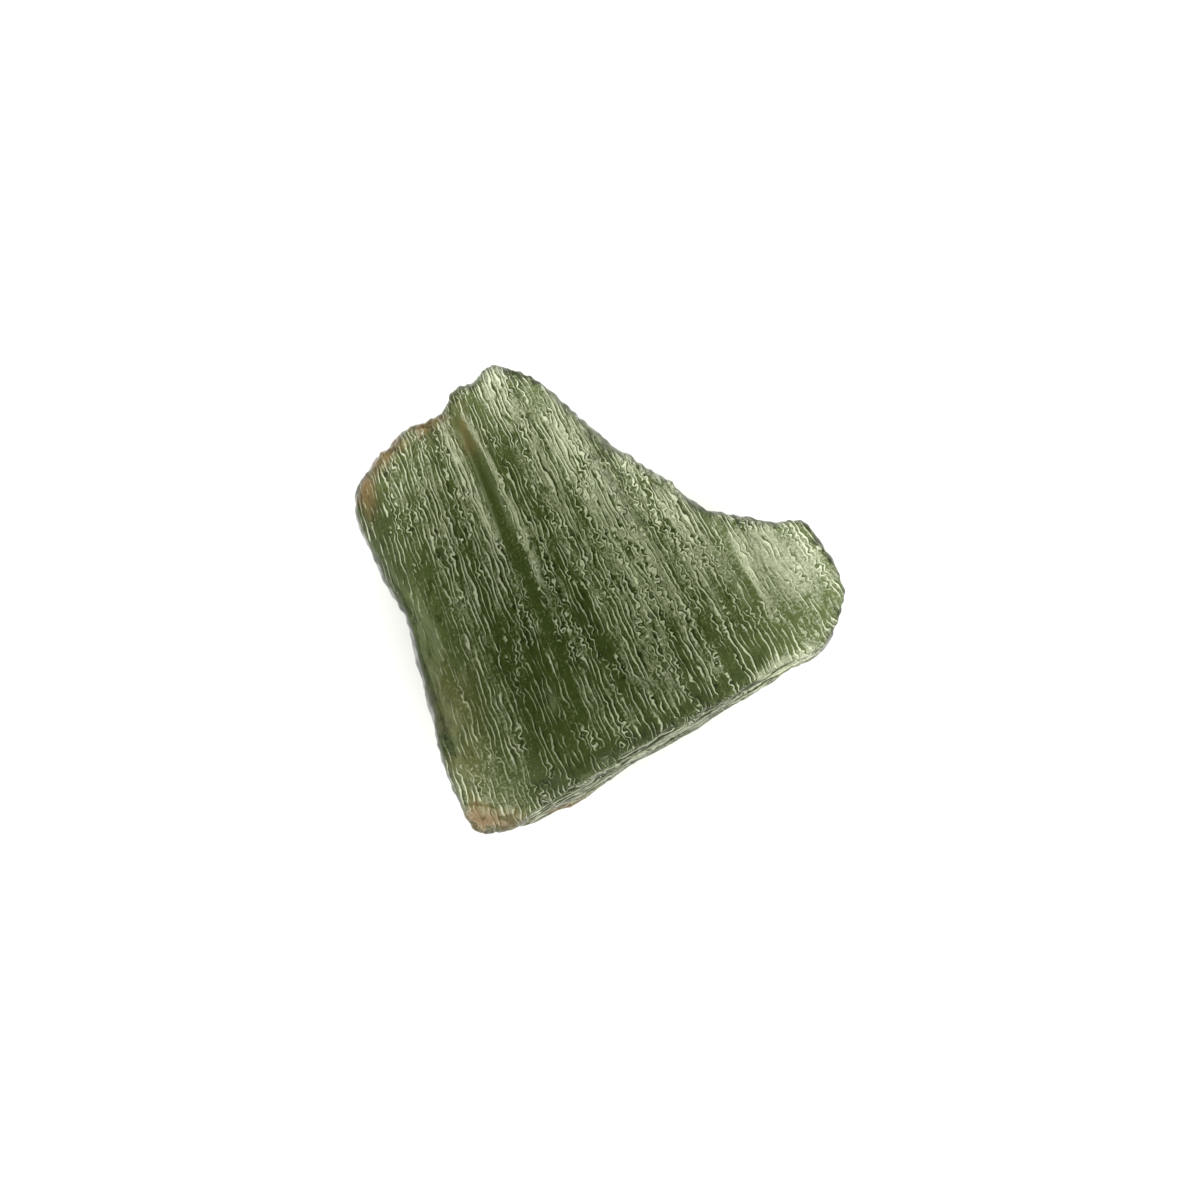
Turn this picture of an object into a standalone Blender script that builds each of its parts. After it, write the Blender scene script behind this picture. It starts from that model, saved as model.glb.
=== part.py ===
"""A natural moldavite: one flat, ridged shard of green glass, lying on a small flat spot.

Metres, +Z up. The origin is the centre of the stone's box, on the surface that it rests on.
Lengths in the constants below are millimetres, seen from above with +Y away from the viewer.
"""

import functools
import math

import bmesh
import bpy
from mathutils import Matrix, Vector, noise

MM = 0.001

# The stone's outline from above, anticlockwise from its left end.
LEFT_EDGE = (
    (-12.25, 4.7), (-12.0, 3.8), (-11.7, 3.05), (-11.45, 2.75), (-11.05, 1.9), (-10.85, 1.15),
    (-10.1, 0.05), (-9.6, -0.8), (-9.35, -1.4), (-9.2, -2.6), (-8.85, -3.8), (-8.65, -4.7),
    (-8.35, -5.6), (-8.2, -6.2), (-8.1, -7.1), (-7.8, -8.0), (-7.4, -9.2), (-7.05, -9.95),
)
LOWER_TIP = ((-6.8, -10.6), (-6.2, -11.75), (-5.6, -11.8), (-4.6, -11.6), (-3.6, -11.15))
BROKEN_EDGE = (
    (-2.5, -10.5), (-1.5, -10.15), (-0.5, -9.55), (0.5, -8.9), (1.6, -8.2), (2.7, -7.5),
    (3.5, -6.95), (4.6, -6.45), (5.5, -5.95), (6.4, -5.35), (7.15, -5.1), (8.4, -4.25),
    (9.3, -3.6), (10.05, -3.15), (11.1, -2.5),
)
RIGHT_LOBE = (
    (11.45, -2.0), (11.95, -1.15), (12.2, 0.3), (12.15, 0.9), (11.9, 1.2), (11.7, 1.95),
    (11.2, 2.65), (10.85, 2.8), (10.65, 3.55), (10.3, 3.95), (9.8, 4.0), (8.8, 3.8),
    (8.3, 3.87), (7.3, 4.1), (6.3, 4.2), (5.45, 4.23),
)
UPPER_EDGE = (
    (5.25, 4.35), (4.85, 4.75), (4.6, 4.8), (4.35, 5.05), (3.5, 5.85), (2.75, 6.25), (2.25, 6.5),
    (2.0, 6.75), (0.9, 7.45), (0.65, 7.5), (0.05, 8.15), (-0.75, 8.85), (-1.0, 9.05), (-1.3, 9.3),
    (-2.4, 10.35), (-3.2, 11.05),
)
PEAK_AND_SHOULDER = (
    (-3.7, 11.15), (-4.2, 11.45), (-4.65, 11.5), (-5.4, 11.7), (-5.65, 11.5), (-5.95, 11.15),
    (-6.1, 10.85), (-6.6, 10.62), (-6.95, 10.7), (-7.3, 10.3), (-7.5, 10.25), (-7.65, 9.5),
    (-7.8, 9.2), (-8.4, 9.0), (-8.85, 8.7), (-9.2, 8.65), (-10.0, 8.1), (-10.3, 7.8),
    (-10.35, 7.5), (-10.95, 7.15), (-11.2, 6.8), (-11.85, 5.9),
)
OUTLINE = LEFT_EDGE + LOWER_TIP + BROKEN_EDGE + RIGHT_LOBE + UPPER_EDGE + PEAK_AND_SHOULDER
MIDDLE = (-1.5, -0.5)  # every point of the outline can be seen from here

# Top face: a level with broad swells on it, each (x, y, reach, height).
TOP_LEVEL = 3.3
SWELLS = (
    (-1.0, -5.5, 8.0, 2.5),
    (-10.0, 4.0, 6.5, 1.2),
    (-4.0, 6.0, 5.5, 0.6),
    (10.5, 0.5, 4.5, 0.3),
)

# Underside: flat round the resting spot, then curving up to the rim.
REST_MIDDLE = (-1.9, -1.0)
REST_RADIUS = 1.4
UNDERSIDE_RISE = 1.95  # far past the resting spot
RISE_REACH = 8.0
REST_CUT = 0.15  # what the flat spot takes off the curved underside

# Edges, by their direction from MIDDLE in degrees. The broken edge is a steep wall that leans
# out towards its foot, and the rest of the rim is rounded.
ROUND_EDGE_SQUARENESS = 4.6
BROKEN_EDGE_SQUARENESS = 22.0
BROKEN_EDGE_FROM, BROKEN_EDGE_TO = 262.0, 348.0
BROKEN_EDGE_BLEND = 8.0
BROKEN_EDGE_LEAN = 0.45
ROUND_EDGE_LEVEL, BROKEN_EDGE_LEVEL = 0.46, 0.28  # of the thickness, where the stone is widest

# Chips: planes that cut the top face, each (x, y, height, slope in x, slope in y).
CHIPS = (
    (-5.5, -10.0, 4.05, 0.12, 0.75),  # the break across the lower tip
    (-3.7, -10.5, 4.15, 0.1, 1.05),  # the small break beside it
    (-4.0, 10.6, 3.5, -0.10, -0.32),  # the thinned peak
)

# Flow lines fan out from a point beyond the peak. ACROSS is measured round that point.
FLOW_ANGLE = math.radians(25.0)  # from -Y towards +X, at the origin
FAN_REACH = 64.0

# Ridges along the flow, each (spacing, length, height) of one layer of them.
RIDGES = ((3.4, 26.0, 0.24), (1.55, 14.0, 0.17), (1.0, 7.0, 0.10))
RIDGE_DEPTH_STEP = 3.0  # how far down the stone a ridge keeps its place
SMOOTH_CORNER = (-8.0, -5.0)  # the ridges fade here
SMOOTH_REACH = 4.5
SMOOTH_SHARE = 0.6  # of a ridge's height, what is gone in the middle of that corner
RIM_SHARE = 0.35  # of the relief, what is left at the rim, whose dents are in OUTLINE already
FULL_RIDGE_THICKNESS = 3.5  # where the stone is thinner than this, its ridges are lower too

# Pits, oval along the flow: the grid that they sit in, and how much of a cell one takes.
PIT_ACROSS, PIT_ALONG = 1.9, 3.6
PIT_SHARE = 0.42
PIT_DEPTH = 0.17

# Named grooves: (x, y of a point on it, half width, depth, length above and below the point).
GROOVES = (
    (-6.0, 6.6, 0.55, 0.30, 3.2, 6.0),  # the smooth channel below the notch
    (6.45, 2.2, 0.50, 0.30, 3.0, 4.2),  # the seam where the right lobe begins
    (-3.85, 10.5, 0.55, 0.22, 2.0, 2.0),  # the pale chip at the peak
    (-2.4, -3.6, 0.50, 0.22, 5.0, 4.4),
    (2.0, 1.2, 0.50, 0.22, 5.6, 5.0),
)

# Ledges of the broken wall run along it, parallel to the resting surface.
WALL_LEDGE_SPACING = 0.9
WALL_LEDGE_LENGTH = 6.0
WALL_LEDGE_HEIGHT = 0.4

# Mesh: the ridges need faces that are narrow across the flow and long along it.
SKIN_SEGMENTS, SKIN_RINGS = 360, 160
FACE_ACROSS, FACE_ALONG, FACE_UP = 0.335, 0.72, 0.42
RIM_ALLOWANCE = 0.09  # what faces of that size cut off a rounded rim


def clear_scene():
    for obj in list(bpy.data.objects):
        bpy.data.objects.remove(obj)


def smooth_step(low, high, value):
    share = min(1.0, max(0.0, (value - low) / (high - low)))
    return share * share * (3.0 - 2.0 * share)


def fan_apex():
    return (-FAN_REACH * math.sin(FLOW_ANGLE), FAN_REACH * math.cos(FLOW_ANGLE))


def to_flow(x, y):
    """(across, up): how far a point is across the flow lines, and how far up them."""
    apex_x, apex_y = fan_apex()
    angle = math.atan2(x - apex_x, apex_y - y) - FLOW_ANGLE
    return FAN_REACH * angle, FAN_REACH - math.hypot(x - apex_x, apex_y - y)


def from_flow(across, up):
    apex_x, apex_y = fan_apex()
    angle = across / FAN_REACH + FLOW_ANGLE
    reach = FAN_REACH - up
    return apex_x + reach * math.sin(angle), apex_y - reach * math.cos(angle)


@functools.lru_cache(maxsize=None)
def outline_reach(direction):
    """Distance from MIDDLE to the outline in this direction, an angle in radians."""
    dx, dy = math.cos(direction), math.sin(direction)
    for (ax, ay), (bx, by) in zip(OUTLINE, OUTLINE[1:] + OUTLINE[:1]):
        ax, ay, bx, by = ax - MIDDLE[0], ay - MIDDLE[1], bx - MIDDLE[0], by - MIDDLE[1]
        side_a, side_b = dx * ay - dy * ax, dx * by - dy * bx
        if side_a <= 0.0 < side_b and side_a != side_b:
            share = side_a / (side_a - side_b)
            return (ax + share * (bx - ax)) * dx + (ay + share * (by - ay)) * dy
    raise ValueError("the outline has a gap")


def brokenness(direction):
    """1 on the broken edge, 0 on the rounded rim, and between them over a few degrees."""
    degrees = math.degrees(direction) % 360.0
    begins = smooth_step(BROKEN_EDGE_FROM - BROKEN_EDGE_BLEND, BROKEN_EDGE_FROM, degrees)
    ends = smooth_step(BROKEN_EDGE_TO, BROKEN_EDGE_TO + BROKEN_EDGE_BLEND, degrees)
    return begins * (1.0 - ends)


def blend(round_value, broken_value, share):
    return round_value + (broken_value - round_value) * share


def top_face(x, y):
    height = TOP_LEVEL
    for swell_x, swell_y, reach, rise in SWELLS:
        away = math.hypot(x - swell_x, y - swell_y) / reach
        height += rise * math.exp(-away * away)
    return height


def underside(x, y):
    past = max(0.0, math.hypot(x - REST_MIDDLE[0], y - REST_MIDDLE[1]) - REST_RADIUS)
    return UNDERSIDE_RISE * (1.0 - math.exp(-((past / RISE_REACH) ** 2))) - REST_CUT


def below_chips(x, y, z):
    """The height left under the planes of the chips."""
    for chip_x, chip_y, height, slope_x, slope_y in CHIPS:
        z = min(z, height + slope_x * (x - chip_x) + slope_y * (y - chip_y))
    return z


def skin_point(unit):
    """Takes a point of the unit sphere to its place on the smooth stone, in millimetres."""
    direction = math.atan2(unit.y, unit.x)
    broken = brokenness(direction)
    power = 2.0 / blend(ROUND_EDGE_SQUARENESS, BROKEN_EDGE_SQUARENESS, broken)
    spread = min(1.0, math.hypot(unit.x, unit.y)) ** power
    lift = min(1.0, abs(unit.z)) ** power
    reach = (outline_reach(round(direction, 5)) + RIM_ALLOWANCE) * spread
    if unit.z > 0.0:
        reach -= BROKEN_EDGE_LEAN * broken * lift * spread
    x = MIDDLE[0] + reach * math.cos(direction)
    y = MIDDLE[1] + reach * math.sin(direction)
    tall = top_face(x, y) - underside(x, y)
    level = blend(ROUND_EDGE_LEVEL, BROKEN_EDGE_LEVEL, broken)
    rim_height = underside(x, y) + tall * level
    if unit.z > 0.0:
        z = rim_height + tall * (1.0 - level) * lift
        z = max(rim_height, below_chips(x, y, z))
    else:
        z = rim_height - tall * level * lift
    return Vector((x, y, z))


def make_skin():
    """The smooth stone as a fine mesh in millimetres: a sphere's points taken to their places."""
    bm = bmesh.new()
    bmesh.ops.create_uvsphere(bm, u_segments=SKIN_SEGMENTS, v_segments=SKIN_RINGS, radius=1.0)
    for vert in bm.verts:
        vert.co = skin_point(vert.co)
    mesh = bpy.data.meshes.new("skin")
    bm.to_mesh(mesh)
    bm.free()
    return mesh


def remesh_along_flow(mesh):
    """Gives the mesh even faces in rows along the flow, FACE_ACROSS by FACE_ALONG."""
    for vert in mesh.vertices:
        across, up = to_flow(vert.co.x, vert.co.y)
        vert.co = (across / FACE_ACROSS, up / FACE_ALONG, vert.co.z / FACE_UP)
    holder = bpy.data.objects.new("skin_in_flow_rows", mesh)
    bpy.context.scene.collection.objects.link(holder)
    remesh = holder.modifiers.new("Even faces", "REMESH")
    remesh.mode = "VOXEL"
    remesh.voxel_size = 1.0
    graph = bpy.context.evaluated_depsgraph_get()
    evened = bpy.data.meshes.new_from_object(holder.evaluated_get(graph))
    bpy.data.objects.remove(holder)
    for vert in evened.vertices:
        x, y = from_flow(vert.co.x * FACE_ACROSS, vert.co.y * FACE_ALONG)
        vert.co = (x, y, vert.co.z * FACE_UP)
    return evened


def groove_depth(across, up):
    """How deep the named grooves go at this place on the top face."""
    depth = 0.0
    for x, y, half_width, deepest, upper, lower in GROOVES:
        middle, start = to_flow(x, y)
        aside = (across - middle) / half_width
        ends = smooth_step(-lower, -0.5 * lower, up - start)
        ends *= 1.0 - smooth_step(0.5 * upper, upper, up - start)
        depth += deepest * math.exp(-aside * aside) * ends
    return depth


def ridge_height(point, across, up):
    """The ridges, as long waves along the flow that are weaker in the smooth corner."""
    height = 0.0
    for layer, (spacing, length, tall) in enumerate(RIDGES):
        place = Vector((across / spacing, up / length, point.z / RIDGE_DEPTH_STEP + 9.0 * layer))
        height += tall * noise.noise(place, noise_basis="PERLIN_ORIGINAL")
    away = math.hypot(point.x - SMOOTH_CORNER[0], point.y - SMOOTH_CORNER[1]) / SMOOTH_REACH
    return height * (1.0 - SMOOTH_SHARE * math.exp(-away * away))


def pit_depth(point, across, up):
    """Shallow oval pits, one in most cells of a grid that is stretched along the flow."""
    place = Vector((across / PIT_ACROSS, up / PIT_ALONG, point.z / PIT_ACROSS))
    nearest = noise.voronoi(place, distance_metric="DISTANCE")[0][0]
    return PIT_DEPTH * (1.0 - smooth_step(0.0, PIT_SHARE, nearest))


def wall_ledges(point):
    """The ledges that run along the broken wall, one above another."""
    along = (point.x + point.y) / WALL_LEDGE_LENGTH
    place = Vector((point.z / WALL_LEDGE_SPACING, along, 31.0))
    return WALL_LEDGE_HEIGHT * noise.noise(place, noise_basis="PERLIN_ORIGINAL")


def relief(point, normal):
    """How far the surface stands out from the smooth stone at a point, in millimetres."""
    across, up = to_flow(point.x, point.y)
    direction = math.atan2(point.y - MIDDLE[1], point.x - MIDDLE[0])
    on_wall = brokenness(direction) * (1.0 - smooth_step(0.35, 0.7, abs(normal.z)))
    tall = top_face(point.x, point.y) - underside(point.x, point.y)
    etched = ridge_height(point, across, up) - pit_depth(point, across, up)
    etched *= min(1.0, tall / FULL_RIDGE_THICKNESS)
    etched *= blend(RIM_SHARE, 1.0, smooth_step(0.1, 0.6, abs(normal.z)))
    etched -= groove_depth(across, up) * smooth_step(0.2, 0.7, normal.z)
    return blend(etched, wall_ledges(point), on_wall)


def raise_ridges(mesh):
    moves = [relief(vert.co, vert.normal) * vert.normal for vert in mesh.vertices]
    for vert, move in zip(mesh.vertices, moves):
        vert.co += move


def flatten_resting_spot(mesh):
    """Takes off what lies under z = 0, which leaves the flat spot that the stone rests on."""
    for vert in mesh.vertices:
        vert.co.z = max(0.0, vert.co.z)


def centre_and_scale(mesh):
    """Puts the middle of the stone's box over the origin, and turns millimetres into metres."""
    xs = [vert.co.x for vert in mesh.vertices]
    ys = [vert.co.y for vert in mesh.vertices]
    middle = Vector(((min(xs) + max(xs)) / 2.0, (min(ys) + max(ys)) / 2.0, 0.0))
    mesh.transform(Matrix.Scale(MM, 4) @ Matrix.Translation(-middle))


def green_glass():
    """Bottle-green natural glass with a lustrous, etched surface."""
    material = bpy.data.materials.new("moldavite_glass")
    material.use_nodes = True
    shader = material.node_tree.nodes["Principled BSDF"]
    shader.inputs["Base Color"].default_value = (0.16, 0.21, 0.09, 1.0)
    shader.inputs["Roughness"].default_value = 0.3
    shader.inputs["Metallic"].default_value = 0.0
    shader.inputs["IOR"].default_value = 1.49
    material.diffuse_color = (0.16, 0.21, 0.09, 1.0)
    return material


def make_moldavite(collection):
    mesh = remesh_along_flow(make_skin())
    raise_ridges(mesh)
    flatten_resting_spot(mesh)
    centre_and_scale(mesh)
    mesh.name = "moldavite"
    mesh.shade_smooth()
    mesh.set_sharp_from_angle(angle=math.radians(50.0))
    mesh.materials.append(green_glass())
    stone = bpy.data.objects.new("moldavite", mesh)
    collection.objects.link(stone)
    return stone


def main():
    clear_scene()
    collection = bpy.data.collections.new("Moldavite")
    bpy.context.scene.collection.children.link(collection)
    make_moldavite(collection)


main()
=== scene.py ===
"""A natural moldavite, a flat ridged shard of green glass, on a pale table in soft studio light.

The stone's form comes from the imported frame. This script gives it its etched skin, its glass and its
light, and looks at it from straight above. Lengths are metres, and millimetres where a name says mm.
"""

import itertools
import logging
import math
from dataclasses import dataclass
from enum import Enum, IntEnum
from typing import Any, Sequence

import bmesh
import bpy
import numpy as np
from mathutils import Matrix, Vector


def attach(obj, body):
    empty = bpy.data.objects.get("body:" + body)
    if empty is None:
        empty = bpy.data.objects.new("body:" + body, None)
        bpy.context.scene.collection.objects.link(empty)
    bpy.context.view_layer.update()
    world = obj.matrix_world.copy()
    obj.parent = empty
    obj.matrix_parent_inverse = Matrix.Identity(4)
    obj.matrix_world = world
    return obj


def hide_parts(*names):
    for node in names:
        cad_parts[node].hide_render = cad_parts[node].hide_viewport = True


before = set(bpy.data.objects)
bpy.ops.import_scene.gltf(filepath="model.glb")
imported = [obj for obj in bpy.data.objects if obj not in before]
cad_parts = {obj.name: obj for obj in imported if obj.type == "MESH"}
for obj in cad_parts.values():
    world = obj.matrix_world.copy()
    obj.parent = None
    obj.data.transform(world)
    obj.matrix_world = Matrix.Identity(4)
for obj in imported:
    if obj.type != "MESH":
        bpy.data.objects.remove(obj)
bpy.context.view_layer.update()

MM = 0.001
LOG = logging.getLogger("moldavite")

Cell = tuple[float, float, float]
Span = tuple[float, float]
Path = Sequence[tuple[float, float]]
Values = np.ndarray | float

# What the material reads from the skin at each point, besides the place along the flow.
SKIN_VALUES = ("rough", "frost_and_painted_light", "stain", "worm")

# The numbers of the mix node's colour sockets, whose names repeat.
MIX_SHARE, MIX_START, MIX_END, MIX_RESULT = 0, 6, 7, 2


def linear(hex_colour: str) -> tuple[float, float, float, float]:
    """Turns an sRGB hex value into the linear colour that Blender's sockets take.

    Args:
        hex_colour: A value such as "#A3B966".

    Returns:
        Linear red, green, blue and an alpha of 1.
    """
    shares = [int(hex_colour[i : i + 2], 16) / 255 for i in (1, 3, 5)]
    red, green, blue = (
        share / 12.92 if share <= 0.04045 else ((share + 0.055) / 1.055) ** 2.4 for share in shares
    )
    return red, green, blue, 1.0


def smooth_step(low: float, high: float, value: np.ndarray) -> np.ndarray:
    """Rises smoothly from 0 at low to 1 at high.

    Args:
        low: Where it leaves 0.
        high: Where it reaches 1.
        value: The values to look up.

    Returns:
        An array of shares from 0 to 1.
    """
    share = np.clip((value - low) / (high - low), 0.0, 1.0)
    return share * share * (3.0 - 2.0 * share)


def between(start: Values, end: Values, share: Values) -> Values:
    """Goes from start to end.

    Args:
        start: The values where share is 0.
        end: The values where share is 1.
        share: How far to go.

    Returns:
        The values in between.
    """
    return start * (1.0 - share) + end * share


class Noise:
    """Seeded gradient noise, the same on every run, about -1 to 1."""

    TABLE = 256
    GAIN = 1.7

    def __init__(self, seed: int) -> None:
        """Draws the table of slopes.

        Args:
            seed: Any whole number. Another seed gives another pattern.
        """
        draw = np.random.default_rng(seed)
        slopes = draw.normal(size=(self.TABLE, 3))
        self.slopes = slopes / np.linalg.norm(slopes, axis=1, keepdims=True)
        self.order = draw.permutation(self.TABLE)

    def at(self, places: np.ndarray, cell: Cell) -> np.ndarray:
        """Looks the noise up.

        Args:
            places: Points, one a row.
            cell: The size of one cell of the pattern along each axis, in the points' units.

        Returns:
            One value for each point.
        """
        scaled = places / np.array(cell)
        corner = np.floor(scaled).astype(int)
        inside = scaled - corner
        fade = inside**3 * (inside * (inside * 6.0 - 15.0) + 10.0)
        total = np.zeros(len(places))
        for step in itertools.product((0, 1), repeat=3):
            index = np.zeros(len(places), int)
            weight = np.ones(len(places))
            for axis in range(3):
                index = self.order[(index + corner[:, axis] + step[axis]) % self.TABLE]
                weight *= fade[:, axis] if step[axis] else 1.0 - fade[:, axis]
            total += weight * ((inside - np.array(step)) * self.slopes[index]).sum(axis=1)
        return self.GAIN * total

    def crests(self, places: np.ndarray, cell: Cell, width: float) -> np.ndarray:
        """Makes crests along the lines where the noise is zero.

        Args:
            places: Points, one a row.
            cell: The size of one cell of the pattern along each axis.
            width: How far from zero a crest reaches. A small one gives narrow crests.

        Returns:
            0 between the crests and 1 on top of one.
        """
        return np.clip(1.0 - np.abs(self.at(places, cell)) / width, 0.0, 1.0)


@dataclass(frozen=True)
class FlowFan:
    """The lines in which the glass once flowed. They fan out from a point beyond the peak."""

    angle: float = math.radians(25.0)
    reach_mm: float = 64.0

    def apex(self) -> tuple[float, float]:
        """Returns the point that the lines come from, in millimetres."""
        return -self.reach_mm * math.sin(self.angle), self.reach_mm * math.cos(self.angle)

    def to_flow(self, points_mm: np.ndarray) -> np.ndarray:
        """Turns places on the table into places along the flow.

        Args:
            points_mm: Points as x, y and z.

        Returns:
            The same points as distance across the lines, distance up them, and height.
        """
        apex_x, apex_y = self.apex()
        away_x = points_mm[:, 0] - apex_x
        away_y = apex_y - points_mm[:, 1]
        across = self.reach_mm * (np.arctan2(away_x, away_y) - self.angle)
        up = self.reach_mm - np.hypot(away_x, away_y)
        return np.column_stack((across, up, points_mm[:, 2]))

    def from_flow(self, places_mm: np.ndarray) -> np.ndarray:
        """Turns places along the flow back into places on the table.

        Args:
            places_mm: Points as distance across the lines, distance up them, and height.

        Returns:
            The same points as x, y and z.
        """
        apex_x, apex_y = self.apex()
        angle = places_mm[:, 0] / self.reach_mm + self.angle
        reach = self.reach_mm - places_mm[:, 1]
        x = apex_x + reach * np.sin(angle)
        y = apex_y - reach * np.cos(angle)
        return np.column_stack((x, y, places_mm[:, 2]))


class Character(Enum):
    """What sets one patch of the surface apart from the rest."""

    CALM = "few and faint threads"
    WORMY = "short crooked tracks among the threads"
    GROOVE = "a smooth channel"
    # A raised ridge whose brightness is a painted highlight in the base colour.
    RIDGE = "a bright ridge beside a channel"
    STAIN = "brown iron stain from the soil"
    # Pale patches are partly real frosting and thin glass, partly a painted sheen toward the upper right
    # and on the lower right corner.
    PALE = "a frost so fine that the glass looks pale"
    DARK = "clear glass that looks dark"


@dataclass(frozen=True)
class Patch:
    """A stretch of the surface, within reach of a path on the table, that has its own character."""

    character: Character
    path: Path
    reach_mm: float
    strength: float = 1.0

    def share(self, points_mm: np.ndarray) -> np.ndarray:
        """Finds how far each point belongs to the patch.

        Args:
            points_mm: Points, whose x and y are read.

        Returns:
            The patch's strength on its path, falling off to 0 beyond its reach.
        """
        nearest = np.full(len(points_mm), np.inf)
        for start, end in zip(self.path, self.path[1:]):
            begin = np.array(start)
            step = np.array(end) - begin
            along = np.clip((points_mm[:, :2] - begin) @ step / (step @ step), 0.0, 1.0)
            gap = points_mm[:, :2] - begin - along[:, None] * step
            nearest = np.minimum(nearest, np.hypot(gap[:, 0], gap[:, 1]))
        return self.strength * np.exp(-((nearest / self.reach_mm) ** 2))


@dataclass(frozen=True)
class BrokenEdge:
    """The steep broken edge along the lower right, which has ledges in place of flow ridges."""

    middle_mm: tuple[float, float] = (-1.5, -0.5)
    from_degrees: float = 262.0
    to_degrees: float = 348.0
    blend_degrees: float = 6.0
    heading: float = math.radians(30.5)
    down_share: float = 0.12
    steepness: Span = (0.55, 0.85)
    ledge_mm: Cell = (2.6, 0.9, 0.34)
    ledge_height_mm: float = 0.10
    ledge_width: float = 0.4
    long_ledge_share: float = 1.2
    short_ledge_size: float = 0.4
    short_ledge_share: float = 0.5
    crack_depth: float = 0.5
    # Base tone of the broken wall; the ledge edges get a painted highlight and the cracks painted shade.
    paleness: float = 0.1
    ledge_highlight_and_crack_shade: float = 0.9
    seed: int = 71

    def share(self, points_mm: np.ndarray, upright: np.ndarray) -> np.ndarray:
        """Finds the points that lie on the broken edge.

        Args:
            points_mm: Points of the stone.
            upright: How far each point's normal is from level, from 0 on a wall to 1 on a face.

        Returns:
            1 on the broken wall and 0 elsewhere.
        """
        away = points_mm[:, :2] - np.array(self.middle_mm)
        degrees = np.degrees(np.arctan2(away[:, 1], away[:, 0])) % 360.0
        begins = smooth_step(self.from_degrees - self.blend_degrees, self.from_degrees, degrees)
        ends = smooth_step(self.to_degrees, self.to_degrees + self.blend_degrees, degrees)
        return begins * (1.0 - ends) * (1.0 - smooth_step(*self.steepness, upright))

    def to_edge(self, points_mm: np.ndarray) -> np.ndarray:
        """Turns places on the table into places along the edge.

        Args:
            points_mm: Points as x, y and z.

        Returns:
            The same points as distance down the wall, distance along the edge, and height.
        """
        cos, sin = math.cos(self.heading), math.sin(self.heading)
        along = points_mm[:, 0] * cos + points_mm[:, 1] * sin
        out = points_mm[:, 0] * sin - points_mm[:, 1] * cos
        return np.column_stack((out - self.down_share * points_mm[:, 2], along, points_mm[:, 2]))

    def ledges(self, points_mm: np.ndarray) -> np.ndarray:
        """Finds the ledges of the broken wall.

        Args:
            points_mm: Points of the stone.

        Returns:
            About -1 in a crack and 1 on an edge.
        """
        places = self.to_edge(points_mm)[:, (1, 0, 2)]
        short_mm = tuple(self.short_ledge_size * side for side in self.ledge_mm)
        long_ledges = Noise(self.seed).crests(places, self.ledge_mm, self.ledge_width)
        short_ledges = Noise(self.seed + 1).at(places, short_mm)
        raised = self.long_ledge_share * long_ledges + self.short_ledge_share * short_ledges
        return raised - self.crack_depth


class Layer(IntEnum):
    """The layers of the skin. The number sets the seed of each one's own pattern."""

    BUNDLES = 0
    THREADS = 1
    BEADS = 3
    WORMS = 4
    WORM_PLACES = 5
    SLITS = 6
    SLIT_PLACES = 7
    NOTCHES = 8
    DASHES = 9
    BLOTS = 10
    WIDE_SWAY = 20
    SMALL_SWAY = 30


@dataclass(frozen=True)
class Tones:
    """How pale each part of the skin's base colour is, from -1 for painted shade to 1 for white frosting
    with a painted highlight.
    """

    # The thread and ridge tones lighten the base colour as frosting with a painted highlight; the slit and
    # rim tones darken it as painted shade; bundle and underside are frosting.
    thread: float = 0.3
    ridge: float = 0.5
    slit_painted_shade: float = -0.8
    groove: float = -0.1
    bundle: float = 0.22
    bundle_middle: float = 0.75
    rim: float = -0.85
    underside: float = 0.9


@dataclass(frozen=True)
class Relief:
    """The skin at every point of the stone.

    Attributes:
        height_mm: How far the skin rises above the smooth stone.
        rough: How strongly the finest tracks show.
        frost_and_painted_light: How pale the base colour is, from -1 to 1: frosting, with painted
            highlights on threads, ridges and ledges, and painted shade in slits, cracks and on the rim.
        stain: How brown it is.
        worm: How strongly the finest tracks curl.
        broken: 1 on the broken edge.
    """

    height_mm: np.ndarray
    rough: np.ndarray
    frost_and_painted_light: np.ndarray
    stain: np.ndarray
    worm: np.ndarray
    broken: np.ndarray


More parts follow.
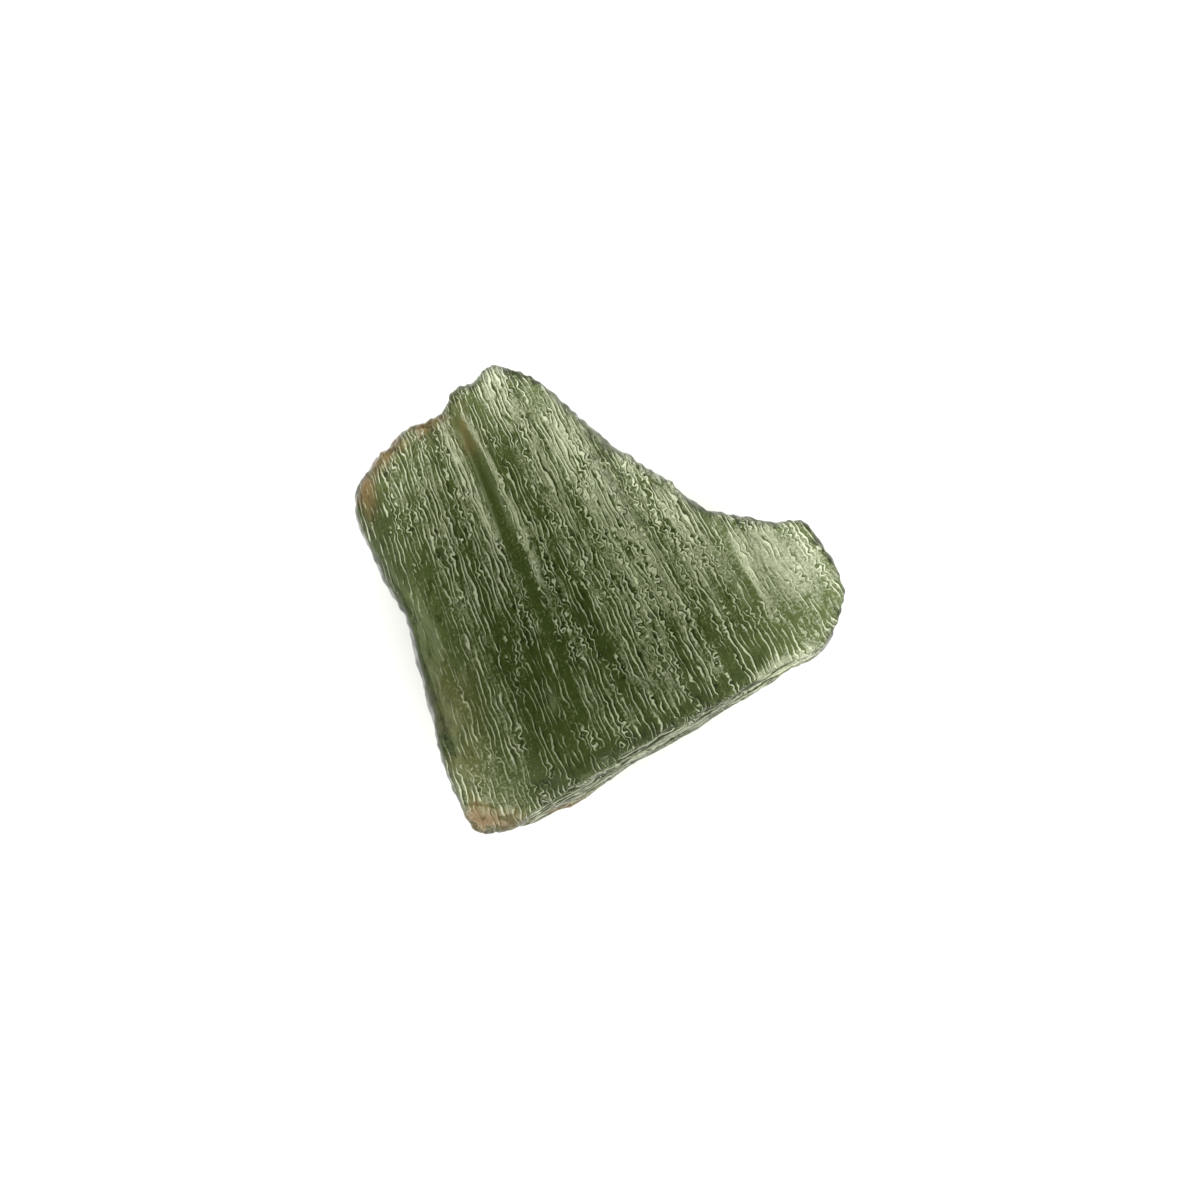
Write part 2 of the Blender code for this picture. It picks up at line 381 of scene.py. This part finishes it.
@dataclass
class EtchedSkin:
    """The relief that soil acids etched along the flow: threads, slits, beads and worm tracks.

    A cell is the size of one wave of a layer's pattern: across the flow, along it and upwards. An edge
    is where in its pattern a layer begins, and where it reaches its full strength.
    """

    fan: FlowFan
    edge: BrokenEdge
    tones: Tones = Tones()
    top_edge: Span = (0.1, 0.5)
    rim_edge: Span = (0.1, 0.55)
    sway_mm: Cell = (0.9, 1.6, 1.2)
    sway_width_mm: float = 0.14
    small_sway_size: float = 0.35
    small_sway_share: float = 0.5
    bundle_mm: Cell = (1.15, 13.0, 4.0)
    bundle_edge: Span = (-0.35, 0.15)
    bundle_height_mm: float = 0.04
    rough_between_bundles: float = 0.55
    thread_mm: Cell = (0.34, 3.0, 1.6)
    thread_width: float = 0.42
    thread_sharpness: float = 1.3
    thread_height_mm: float = 0.035
    thread_loss_to_worms: float = 0.6
    bead_mm: Cell = (0.22, 0.30, 0.3)
    bead_middle: float = 0.75
    bead_swing: float = 0.7
    worm_mm: Cell = (0.35, 0.45, 0.45)
    worm_width: float = 0.42
    worm_curl_mm: float = 0.14
    worm_height_mm: float = 0.03
    worm_patch_mm: Cell = (1.1, 1.6, 1.5)
    worm_edge: Span = (-0.1, 0.45)
    worm_least: float = 0.15
    wormy_share: float = 0.45
    slit_mm: Cell = (0.55, 1.8, 1.5)
    slit_width: float = 0.13
    slit_patch_mm: Cell = (0.9, 2.2, 1.5)
    slit_edge: Span = (0.0, 0.3)
    slit_depth_mm: float = 0.05
    dash_mm: Cell = (0.35, 0.8, 0.6)
    dash_edge: Span = (-0.3, 0.25)
    dash_least: float = 0.12
    notch_mm: Cell = (0.35, 0.45, 0.9)
    notch_height_mm: float = 0.09
    blot_mm: Cell = (0.9, 1.3, 0.9)
    blot_edge: Span = (-0.7, 0.3)
    underside_roughness: float = 0.4
    flat_spot_mm: float = 0.10
    groove_edge: Span = (0.1, 0.9)
    groove_depth_mm: float = 0.03
    ridge_height_mm: float = 0.05
    ridge_beading: float = 0.4
    seed: int = 11
    patches: tuple[Patch, ...] = (
        Patch(Character.CALM, ((-9.0, 0.0), (-7.5, -6.0)), 2.4, 0.72),
        Patch(Character.CALM, ((-3.0, -5.0), (0.0, -7.0)), 2.6, 0.4),
        Patch(Character.CALM, ((-6.0, -8.0), (-4.0, -9.5)), 1.6, 0.75),
        Patch(Character.CALM, ((8.5, 2.0), (10.5, -0.5)), 2.6, 0.72),
        Patch(Character.CALM, ((-3.4, 11.0), (-3.2, 9.6)), 0.6, 0.9),
        Patch(Character.CALM, ((-0.9, 9.0), (0.5, 7.6)), 0.35, 0.8),
        Patch(Character.WORMY, ((-3.6, 1.0), (-2.4, -1.2)), 1.6),
        Patch(Character.WORMY, ((0.0, 4.2), (3.0, 1.8)), 2.4, 0.8),
        Patch(Character.WORMY, ((9.5, 3.4), (11.0, 1.0)), 1.4, 0.8),
        Patch(Character.WORMY, ((4.0, -1.5), (7.0, -1.5)), 2.0, 0.8),
        Patch(Character.GROOVE, ((-7.0, 8.9), (-6.2, 7.0), (-5.0, 4.3), (-3.8, 1.5)), 0.50),
        Patch(Character.GROOVE, ((-3.6, 1.0), (-1.8, -3.2), (-0.8, -6.0)), 0.40, 0.8),
        Patch(Character.GROOVE, ((5.9, 4.0), (7.0, 1.6), (7.9, 0.2)), 0.22),
        Patch(Character.RIDGE, ((-6.9, 9.3), (-5.5, 7.0), (-3.9, 3.6), (-3.0, 1.0)), 0.16),
        Patch(Character.RIDGE, ((-7.9, 8.6), (-6.5, 5.5), (-5.0, 2.5)), 0.16),
        Patch(Character.RIDGE, ((6.4, 3.8), (7.9, 0.6), (8.6, -1.0)), 0.12, 0.5),
        Patch(Character.STAIN, ((-12.4, 4.4), (-12.0, 5.6)), 0.7),
        Patch(Character.STAIN, ((-12.0, 5.8), (-10.3, 7.9), (-8.0, 9.3)), 0.45, 0.9),
        Patch(Character.STAIN, ((-7.3, 9.4), (-6.6, 7.8)), 0.6, 0.25),
        Patch(Character.STAIN, ((-6.4, -10.9), (-4.6, -11.3)), 0.8, 0.85),
        Patch(Character.STAIN, ((-3.4, -11.3), (-0.4, -9.8)), 0.22, 0.9),
        Patch(Character.STAIN, ((-7.4, -4.0), (-6.6, -8.5)), 1.1, 0.15),
        # Pale patches: frosting and thin glass, and in part a painted sheen.
        Patch(Character.PALE, ((-6.4, -10.9), (-4.6, -11.3)), 0.8, 0.35),
        Patch(Character.PALE, ((7.8, 2.4), (9.5, 1.6)), 1.8, 0.33),
        Patch(Character.PALE, ((-1.0, 7.2), (1.5, 4.5), (4.0, 1.5)), 2.4, 0.27),
        Patch(Character.PALE, ((-5.2, 10.8), (-4.4, 9.2)), 1.1, 0.2),
        Patch(Character.PALE, ((8.2, -3.9), (10.4, -2.6)), 0.6, 0.5),
        Patch(Character.DARK, ((-12.4, 5.4), (-12.0, 3.4)), 0.8, 0.4),
        Patch(Character.DARK, ((-12.0, 4.5), (-11.0, 1.5), (-9.5, -2.5), (-8.2, -7.0)), 1.3, 0.55),
        Patch(Character.DARK, ((-3.0, -9.4), (3.0, -6.3), (8.0, -3.0)), 0.45, 0.35),
        Patch(Character.DARK, ((-2.5, 0.5), (-0.5, -3.0)), 1.6, 0.1),
    )

    def pattern(self, layer: Layer) -> Noise:
        """Gives a layer the noise that its pattern is read from.

        Args:
            layer: The layer.

        Returns:
            The layer's own noise.
        """
        return Noise(self.seed + layer)

    def in_patches(self, points_mm: np.ndarray, character: Character) -> np.ndarray:
        """Finds how far each point lies in patches of one character.

        Args:
            points_mm: Points, whose x and y are read.
            character: The character to look for.

        Returns:
            A share from 0 to 1.
        """
        total = np.zeros(len(points_mm))
        for patch in self.patches:
            if patch.character is character:
                total = np.maximum(total, patch.share(points_mm))
        return total

    def swayed(self, flow_mm: np.ndarray, width_mm: float) -> np.ndarray:
        """Shifts points a little across the flow, so that no thread runs quite straight.

        Args:
            flow_mm: Points along the flow.
            width_mm: How far the widest sway goes.

        Returns:
            The shifted points.
        """
        shifted = flow_mm.copy()
        small_mm = tuple(self.small_sway_size * side for side in self.sway_mm)
        for axis in (0, 1):
            wide = Noise(self.seed + Layer.WIDE_SWAY + axis).at(flow_mm, self.sway_mm)
            small = Noise(self.seed + Layer.SMALL_SWAY + axis).at(flow_mm, small_mm)
            shifted[:, axis] += width_mm * (wide + self.small_sway_share * small)
        return shifted

    def relief(self, flow_mm: np.ndarray, facing: np.ndarray) -> Relief:
        """Adds up every layer of the skin.

        Args:
            flow_mm: The smooth stone's points, along the flow.
            facing: How far each normal looks up, from -1 underneath to 1 on top.

        Returns:
            The skin at each point.
        """
        top = smooth_step(*self.top_edge, facing)
        under = smooth_step(*self.top_edge, -facing)
        rim = 1.0 - smooth_step(*self.rim_edge, np.abs(facing))
        points = self.fan.from_flow(flow_mm)
        swayed = self.swayed(flow_mm, self.sway_width_mm)
        curled = self.swayed(flow_mm, self.worm_curl_mm)

        groove = smooth_step(*self.groove_edge, self.in_patches(points, Character.GROOVE)) * top
        ridge = self.in_patches(points, Character.RIDGE) * top
        calm = 1.0 - self.in_patches(points, Character.CALM)
        bundles = smooth_step(*self.bundle_edge, self.pattern(Layer.BUNDLES).at(swayed, self.bundle_mm))
        rough = between(self.rough_between_bundles, 1.0, bundles) * (1.0 - groove) * calm

        beads = self.bead_middle + self.bead_swing * self.pattern(Layer.BEADS).at(flow_mm, self.bead_mm)
        threads = self.pattern(Layer.THREADS).crests(swayed, self.thread_mm, self.thread_width)
        threads = threads**self.thread_sharpness * beads
        worms = self.pattern(Layer.WORMS).crests(curled, self.worm_mm, self.worm_width)
        worm_places = self.pattern(Layer.WORM_PLACES).at(flow_mm, self.worm_patch_mm)
        worm_places += self.wormy_share * self.in_patches(points, Character.WORMY)
        worm = between(self.worm_least, 1.0, smooth_step(*self.worm_edge, worm_places))
        slit_places = self.pattern(Layer.SLIT_PLACES).at(flow_mm, self.slit_patch_mm)
        slits = self.pattern(Layer.SLITS).crests(swayed, self.slit_mm, self.slit_width)
        slits *= smooth_step(*self.slit_edge, slit_places)
        notches = self.pattern(Layer.NOTCHES).at(flow_mm, self.notch_mm) * (1.0 - top)

        height = self.bundle_height_mm * bundles * calm
        height += self.thread_height_mm * rough * (1.0 - self.thread_loss_to_worms * worm) * threads
        height += self.worm_height_mm * rough * worm * worms
        height -= self.slit_depth_mm * rough * slits
        height += self.ridge_height_mm * ridge * between(1.0, beads, self.ridge_beading)
        height -= self.groove_depth_mm * groove
        height += self.notch_height_mm * notches

        # Base colour tones: frosting with a painted highlight on threads and ridges, painted shade in
        # slits and on the steep rim.
        tones = self.tones
        frost_and_painted_light = rough * (tones.thread * threads + tones.slit_painted_shade * slits)
        frost_and_painted_light += tones.ridge * ridge + tones.groove * groove
        frost_and_painted_light += tones.bundle * (bundles - tones.bundle_middle) * calm
        frost_and_painted_light = between(frost_and_painted_light, tones.underside, under) + tones.rim * rim

        dashes = smooth_step(*self.dash_edge, self.pattern(Layer.DASHES).at(flow_mm, self.dash_mm))
        rough *= between(self.dash_least, 1.0, dashes)
        rough *= between(1.0, self.underside_roughness, under)

        broken = self.edge.share(points, np.abs(facing))
        ledges = self.edge.ledges(points)
        height = between(height, self.edge.ledge_height_mm * ledges, broken)
        # Painted highlight on the ledge edges and painted shade in the cracks between them.
        frost_and_painted_light = between(frost_and_painted_light, self.edge.paleness + self.edge.ledge_highlight_and_crack_shade * ledges, broken)
        rough = between(rough, 1.0, broken)

        # Pale patches lighten the base colour, in part as a painted sheen.
        frost_and_painted_light += self.in_patches(points, Character.PALE) - self.in_patches(points, Character.DARK)
        blots = smooth_step(*self.blot_edge, self.pattern(Layer.BLOTS).at(flow_mm, self.blot_mm))
        stain = self.in_patches(points, Character.STAIN) * blots
        return Relief(height, rough, np.clip(frost_and_painted_light, -1.0, 1.0), stain, worm, broken)


@dataclass
class Shard:
    """The visible stone: the frame's form in fine faces, with the etched skin on it."""

    fan: FlowFan
    skin: EtchedSkin
    face_across_mm: float = 0.063
    face_along_mm: float = 0.185
    face_up_mm: float = 0.105
    join_mm: float = 0.001
    rounding: int = 2
    name: str = "moldavite_shard"

    def smooth_form(self) -> bpy.types.Object:
        """Copies the frame's stone and rounds its facets.

        Returns:
            A closed mesh object in metres.
        """
        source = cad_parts["moldavite"]
        bm = bmesh.new()
        bm.from_mesh(source.data)
        bmesh.ops.remove_doubles(bm, verts=bm.verts, dist=self.join_mm * MM)
        mesh = bpy.data.meshes.new("rounded")
        bm.to_mesh(mesh)
        bm.free()
        holder = bpy.data.objects.new("rounded", mesh)
        bpy.context.scene.collection.objects.link(holder)
        rounding = holder.modifiers.new("Round the facets", "SUBSURF")
        rounding.levels = self.rounding
        rounding.render_levels = self.rounding
        return self.applied(holder)

    @staticmethod
    def applied(holder: bpy.types.Object) -> bpy.types.Object:
        """Applies an object's modifiers.

        Args:
            holder: An object in the scene.

        Returns:
            The same object, whose mesh is now the modified one.
        """
        graph = bpy.context.evaluated_depsgraph_get()
        made = bpy.data.meshes.new_from_object(holder.evaluated_get(graph))
        holder.modifiers.clear()
        old = holder.data
        holder.data = made
        bpy.data.meshes.remove(old)
        return holder

    @staticmethod
    def coordinates(mesh: bpy.types.Mesh) -> np.ndarray:
        """Returns a mesh's points, one a row."""
        flat = np.empty(len(mesh.vertices) * 3)
        mesh.vertices.foreach_get("co", flat)
        return flat.reshape(-1, 3)

    @staticmethod
    def place(mesh: bpy.types.Mesh, points: np.ndarray) -> None:
        """Moves a mesh's points.

        Args:
            mesh: The mesh.
            points: Its new points, one a row.
        """
        mesh.vertices.foreach_set("co", points.ravel())
        mesh.update()

    def even_faces(self, holder: bpy.types.Object) -> np.ndarray:
        """Gives the stone small even faces that are long along the flow.

        Args:
            holder: The rounded stone. Its mesh is replaced.

        Returns:
            The new points along the flow, in millimetres.
        """
        faces = np.array((self.face_across_mm, self.face_along_mm, self.face_up_mm))
        self.place(holder.data, self.fan.to_flow(self.coordinates(holder.data) / MM) / faces)
        evening = holder.modifiers.new("Even faces", "REMESH")
        evening.mode = "VOXEL"
        evening.voxel_size = 1.0
        self.applied(holder)
        flow = self.coordinates(holder.data) * faces
        self.place(holder.data, flow)
        return flow

    def build(self) -> bpy.types.Object:
        """Makes the stone's mesh.

        Returns:
            The finished object, still without its material.
        """
        holder = self.smooth_form()
        flow = self.even_faces(holder)
        normals = np.empty(len(flow) * 3)
        holder.data.vertex_normals.foreach_get("vector", normals)
        normals = normals.reshape(-1, 3)
        relief = self.skin.relief(flow, normals[:, 2])
        off_flat_spot = smooth_step(0.0, self.skin.flat_spot_mm, flow[:, 2])
        flow += normals * (relief.height_mm * off_flat_spot)[:, None]
        flow[:, 2] = np.maximum(flow[:, 2], 0.0)
        mesh = holder.data
        along_edge = self.skin.edge.to_edge(self.fan.from_flow(flow))
        grained = np.where(relief.broken[:, None] > 0.5, along_edge, flow)
        self.keep(mesh, "flow_mm", "FLOAT_VECTOR", "vector", grained)
        for name in SKIN_VALUES:
            self.keep(mesh, name, "FLOAT", "value", getattr(relief, name))
        self.place(mesh, self.fan.from_flow(flow) * MM)
        mesh.shade_smooth()
        mesh.name = self.name
        holder.name = self.name
        return holder

    @staticmethod
    def keep(mesh: bpy.types.Mesh, name: str, kind: str, key: str, values: np.ndarray) -> None:
        """Stores a value for each point of the mesh, for the material to read.

        Args:
            mesh: The stone's mesh.
            name: What the material calls it.
            kind: The attribute's type.
            key: The name of a value in an attribute of that type.
            values: One value, or one row, for each point.
        """
        kept = mesh.attributes.new(name, kind, "POINT")
        kept.data.foreach_set(key, values.ravel().astype(np.float32))


def add_node(
    tree: bpy.types.NodeTree,
    kind: str,
    settings: dict[str, Any] | None = None,
    values: dict[str | int, Any] | None = None,
    links: dict[str | int, bpy.types.NodeSocket] | None = None,
) -> bpy.types.Node:
    """Adds one node.

    Args:
        tree: The tree that it goes in.
        kind: Blender's name for the node type.
        settings: The node's own properties.
        values: Plain values for its inputs, by name or number.
        links: What feeds its inputs, by name or number.

    Returns:
        The new node.
    """
    node = tree.nodes.new(kind)
    for name, value in (settings or {}).items():
        setattr(node, name, value)
    for name, value in (values or {}).items():
        node.inputs[name].default_value = value
    for name, socket in (links or {}).items():
        tree.links.new(socket, node.inputs[name])
    return node


def span_node(
    tree: bpy.types.NodeTree, value: bpy.types.NodeSocket, start: Span, end: Span
) -> bpy.types.NodeSocket:
    """Adds a node that carries one span of values over to another, and stays within it.

    Args:
        tree: The tree that it goes in.
        value: What is carried over.
        start: The span that it has.
        end: The span that it gets.

    Returns:
        The new value.
    """
    limits = {"From Min": start[0], "From Max": start[1], "To Min": end[0], "To Max": end[1]}
    return add_node(tree, "ShaderNodeMapRange", values=limits, links={"Value": value}).outputs[0]


@dataclass(frozen=True)
class TektiteGlass:
    """Moldavite: silica-rich natural glass, quenched from a splash and etched in the soil.

    It takes out red and blue light over a few millimetres, so thin parts look pale grey green and
    The finest etching is a maze of tracks, each a raised rim beside a cut, shaped by a bump; the base
    colour also paints a highlight on the rims and shade in the cuts.
    """

    # The darkest tint is painted shade in the cuts, slits and rim; the palest is frosting with a painted
    # highlight.
    cut: str = "#10180A"
    body: str = "#3D4A22"
    frost_and_highlight: str = "#F8FBE6"
    iron: str = "#8A5C36"
    absorbing: str = "#B2C25C"
    absorbing_per_metre: float = 115.0
    ior: float = 1.49
    shine: float = 0.2
    shine_tint: str = "#8C9470"
    clearness: float = 0.86
    polish: float = 0.08
    satin: float = 0.20
    track_mm: float = 0.25
    sway_mm: float = 0.35
    sway_cell_mm: Cell = (0.40, 1.1, 0.6)
    curl_mm: float = 0.48
    curl_cell_mm: Cell = (0.25, 0.26, 0.3)
    profile: tuple[tuple[float, float], ...] = (
        (0.0, 0.05),
        (0.11, 0.05),
        (0.27, 0.43),
        (0.66, 0.45),
        (0.80, 1.0),
        (0.92, 1.0),
        (1.0, 0.3),
    )
    plain: float = 0.47
    # How strongly the tracks paint highlight and shade into the base colour.
    track_painted_light_share: float = 3.0
    track_height_mm: float = 0.018
    grain_mm: Cell = (0.12, 0.12, 0.12)
    grain_share: float = 0.5
    grain_edge: Span = (0.35, 0.65)
    cut_at: float = 0.1
    body_at: float = 0.5
    frost_at: float = 0.95

    @staticmethod
    def noise(
        tree: bpy.types.NodeTree, places: bpy.types.NodeSocket, cell: Cell
    ) -> bpy.types.NodeSocket:
        """Adds a noise pattern.

        Args:
            tree: The material's tree.
            places: Points along the flow, in millimetres.
            cell: The size of one cell of the pattern.

        Returns:
            The pattern, about 0.2 to 0.8.
        """
        scaled = add_node(tree, "ShaderNodeVectorMath", {"operation": "DIVIDE"}, {1: cell}, {0: places})
        pattern = add_node(
            tree,
            "ShaderNodeTexNoise",
            {"noise_dimensions": "3D"},
            {"Scale": 1.0, "Detail": 0.0},
            {"Vector": scaled.outputs[0]},
        )
        return pattern.outputs["Fac"]

    @staticmethod
    def sum_of(
        tree: bpy.types.NodeTree,
        value: bpy.types.NodeSocket,
        times: bpy.types.NodeSocket | float,
        plus: bpy.types.NodeSocket | float,
    ) -> bpy.types.NodeSocket:
        """Adds a node that works out value times times plus plus.

        Args:
            tree: The material's tree.
            value: What is multiplied.
            times: What it is multiplied by.
            plus: What is added.

        Returns:
            The result.
        """
        node = add_node(tree, "ShaderNodeMath", {"operation": "MULTIPLY_ADD"}, links={0: value})
        for index, given in ((1, times), (2, plus)):
            if isinstance(given, float):
                node.inputs[index].default_value = given
            else:
                tree.links.new(given, node.inputs[index])
        return node.outputs[0]

    def tracks(
        self, tree: bpy.types.NodeTree, flow: bpy.types.NodeSocket, worm: bpy.types.NodeSocket
    ) -> bpy.types.NodeSocket:
        """Adds the fine tracks: lines along the flow that sway, and curl up where worm is high.

        Args:
            tree: The material's tree.
            flow: Points along the flow, in millimetres.
            worm: How strongly the lines curl, from 0 to 1.

        Returns:
            The tracks' height, from about -0.4 in a cut to 0.5 on a rim.
        """
        across = add_node(tree, "ShaderNodeSeparateXYZ", links={0: flow}).outputs["X"]
        swayed = self.sum_of(tree, self.noise(tree, flow, self.sway_cell_mm), self.sway_mm, across)
        curls = self.noise(tree, flow, self.curl_cell_mm)
        curl = self.sum_of(tree, curls, self.curl_mm, -0.5 * self.curl_mm)
        lines = self.sum_of(tree, curl, worm, swayed)
        count = self.sum_of(tree, lines, 1.0 / self.track_mm, 0.0)
        phase = add_node(tree, "ShaderNodeMath", {"operation": "FRACT"}, links={0: count}).outputs[0]
        stops = [(place, (height, height, height, 1.0)) for place, height in self.profile]
        return self.sum_of(tree, self.ramp(tree, phase, stops), 1.0, -self.plain)

    @staticmethod
    def ramp(
        tree: bpy.types.NodeTree, value: bpy.types.NodeSocket, stops: Sequence[tuple[float, Any]]
    ) -> bpy.types.NodeSocket:
        """Adds a ramp of colours.

        Args:
            tree: The material's tree.
            value: What looks the colour up.
            stops: Places from 0 to 1, each with its colour.

        Returns:
            The colour.
        """
        node = add_node(tree, "ShaderNodeValToRGB", links={0: value})
        elements = node.color_ramp.elements
        for index, (place, colour) in enumerate(stops):
            element = elements[index] if index < 2 else elements.new(place)
            element.position = place
            element.color = colour
        return node.outputs["Color"]

    def material(self) -> bpy.types.Material:
        """Returns the glass as a Blender material."""
        material = bpy.data.materials.new("moldavite_etched_glass")
        material.use_nodes = True
        tree = material.node_tree
        tree.nodes.clear()
        flow = add_node(tree, "ShaderNodeAttribute", {"attribute_name": "flow_mm"}).outputs["Vector"]
        rough, frost_and_painted_light, stain, worm = (
            add_node(tree, "ShaderNodeAttribute", {"attribute_name": name}).outputs["Fac"]
            for name in SKIN_VALUES
        )
        etched = self.sum_of(tree, self.tracks(tree, flow, worm), rough, 0.0)
        bump = add_node(
            tree,
            "ShaderNodeBump",
            values={"Strength": 1.0, "Distance": self.track_height_mm * MM},
            links={"Height": etched},
        )
        grain = self.noise(tree, flow, self.grain_mm)
        # The tracks' height also goes into the base colour: a painted highlight on each raised rim and
        # painted shade in each cut, on top of the bump.
        lined_with_painted_light = self.sum_of(tree, etched, self.track_painted_light_share, frost_and_painted_light)
        paleness = self.sum_of(tree, grain, self.grain_share, lined_with_painted_light)
        # Tones from -1 to 1 become places from 0 to 1, less the grain's middle, which is 0.5.
        place = self.sum_of(tree, paleness, 0.5, 0.5 - 0.25 * self.grain_share)
        # Painted shade at the dark end of the ramp, frosting with a painted highlight at the pale end.
        tints = (
            (self.cut_at, linear(self.cut)),
            (self.body_at, linear(self.body)),
            (self.frost_at, linear(self.frost_and_highlight)),
        )
        stained = add_node(
            tree,
            "ShaderNodeMix",
            {"data_type": "RGBA"},
            {MIX_END: linear(self.iron)},
            {MIX_SHARE: stain, MIX_START: self.ramp(tree, place, tints)},
        )
        roughness = span_node(tree, grain, self.grain_edge, (self.polish, self.satin))
        shader = add_node(
            tree,
            "ShaderNodeBsdfPrincipled",
            values={
                "IOR": self.ior,
                "Transmission Weight": self.clearness,
                "Specular IOR Level": self.shine,
                "Specular Tint": linear(self.shine_tint),
            },
            links={
                "Base Color": stained.outputs[MIX_RESULT],
                "Roughness": roughness,
                "Normal": bump.outputs[0],
            },
        )
        absorption = add_node(
            tree,
            "ShaderNodeVolumeAbsorption",
            values={"Color": linear(self.absorbing), "Density": self.absorbing_per_metre},
        )
        add_node(
            tree,
            "ShaderNodeOutputMaterial",
            links={"Surface": shader.outputs[0], "Volume": absorption.outputs[0]},
        )
        return material


@dataclass(frozen=True)
class Softbox:
    """One soft studio lamp that looks at the stone.

    Attributes:
        name: What it is called.
        azimuth: Where it stands, in degrees clockwise from +Y.
        elevation: How high it stands, in degrees above the table.
        distance: How far it is from the stone.
        side: How wide its square face is.
        brightness: How bright its face looks.
    """

    name: str
    azimuth: float
    elevation: float
    distance: float
    side: float
    brightness: float

    def build(self) -> None:
        """Adds the lamp. Its power is worked out from how bright its face looks."""
        lamp = bpy.data.lights.new(self.name, "AREA")
        lamp.shape = "SQUARE"
        lamp.size = self.side
        lamp.energy = self.brightness * math.pi * self.side**2
        turn, rise = math.radians(self.azimuth), math.radians(self.elevation)
        towards = Vector(
            (math.sin(turn) * math.cos(rise), math.cos(turn) * math.cos(rise), math.sin(rise))
        )
        holder = bpy.data.objects.new(self.name, lamp)
        holder.location = self.distance * towards
        holder.rotation_euler = towards.to_track_quat("Z", "Y").to_euler()
        bpy.context.scene.collection.objects.link(holder)


@dataclass
class Studio:
    """The pale table, the lamps and the camera that looks straight down."""

    table_side: float = 4.0
    table_colour: str = "#FCFCFA"
    table_roughness: float = 0.9
    table_shine: float = 0.1
    sky_low: float = 2.85
    sky_high: float = 0.3
    sky_edge: Span = (0.5, 0.9)
    horizon_share: float = 0.25
    horizon_edge: Span = (0.15, 0.4)
    view_width: float = 0.060
    view_height: float = 0.5
    view_level: float = 0.003
    lens_mm: float = 36.0
    lamps: tuple[Softbox, ...] = (
        Softbox("right_lamp", 62.0, 26.0, 0.6, 0.30, 4.5),
        Softbox("left_lamp", 248.0, 24.0, 0.6, 0.24, 4.5),
        Softbox("back_lamp", 345.0, 24.0, 0.6, 0.24, 4.0),
        Softbox("front_lamp", 155.0, 24.0, 0.6, 0.24, 4.5),
    )

    def table(self) -> None:
        """Adds the table that the stone lies on."""
        bpy.ops.mesh.primitive_plane_add(size=self.table_side)
        top = bpy.context.object
        top.name = "table"
        paper = bpy.data.materials.new("matt_white_paper")
        paper.use_nodes = True
        shader = paper.node_tree.nodes["Principled BSDF"]
        shader.inputs["Base Color"].default_value = linear(self.table_colour)
        shader.inputs["Roughness"].default_value = self.table_roughness
        shader.inputs["Specular IOR Level"].default_value = self.table_shine
        top.data.materials.append(paper)

    def sky(self) -> None:
        """Makes the room around: dim at the horizon, bright above it and dim overhead."""
        world = bpy.data.worlds.new("studio")
        bpy.context.scene.world = world
        world.use_nodes = True
        tree = world.node_tree
        tree.nodes.clear()
        place = add_node(tree, "ShaderNodeTexCoord")
        split = add_node(tree, "ShaderNodeSeparateXYZ", links={0: place.outputs["Generated"]})
        rise = split.outputs["Z"]
        level = span_node(tree, rise, self.sky_edge, (self.sky_low, self.sky_high))
        horizon = span_node(tree, rise, self.horizon_edge, (self.horizon_share, 1.0))
        strength = add_node(
            tree, "ShaderNodeMath", {"operation": "MULTIPLY"}, links={0: level, 1: horizon}
        )
        light = add_node(tree, "ShaderNodeBackground", links={"Strength": strength.outputs[0]})
        light.inputs["Color"].default_value = (1.0, 1.0, 1.0, 1.0)
        add_node(tree, "ShaderNodeOutputWorld", links={"Surface": light.outputs[0]})

    def camera(self) -> None:
        """Adds the camera straight above, with the top of the picture towards +Y."""
        lens = bpy.data.cameras.new("straight_down")
        lens.sensor_width = self.lens_mm
        lens.lens = self.lens_mm * self.view_height / self.view_width
        holder = bpy.data.objects.new("straight_down", lens)
        holder.location = (0.0, 0.0, self.view_height + self.view_level)
        bpy.context.scene.collection.objects.link(holder)
        bpy.context.scene.camera = holder

    def build(self) -> None:
        """Builds the whole studio."""
        self.camera()
        self.table()
        self.sky()
        for lamp in self.lamps:
            lamp.build()
        bpy.context.scene.view_settings.view_transform = "Standard"


def main() -> None:
    """Builds the studio and the stone, and notes the sizes."""
    logging.basicConfig(level=logging.INFO)
    Studio().build()
    fan = FlowFan()
    shard = Shard(fan, EtchedSkin(fan, BrokenEdge())).build()
    shard.data.materials.append(TektiteGlass().material())
    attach(shard, "root")
    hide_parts("moldavite")
    triangles = sum(len(face.vertices) - 2 for face in shard.data.polygons)
    LOG.info("%s: %d triangles", shard.name, triangles)


if __name__ == "__main__":
    main()
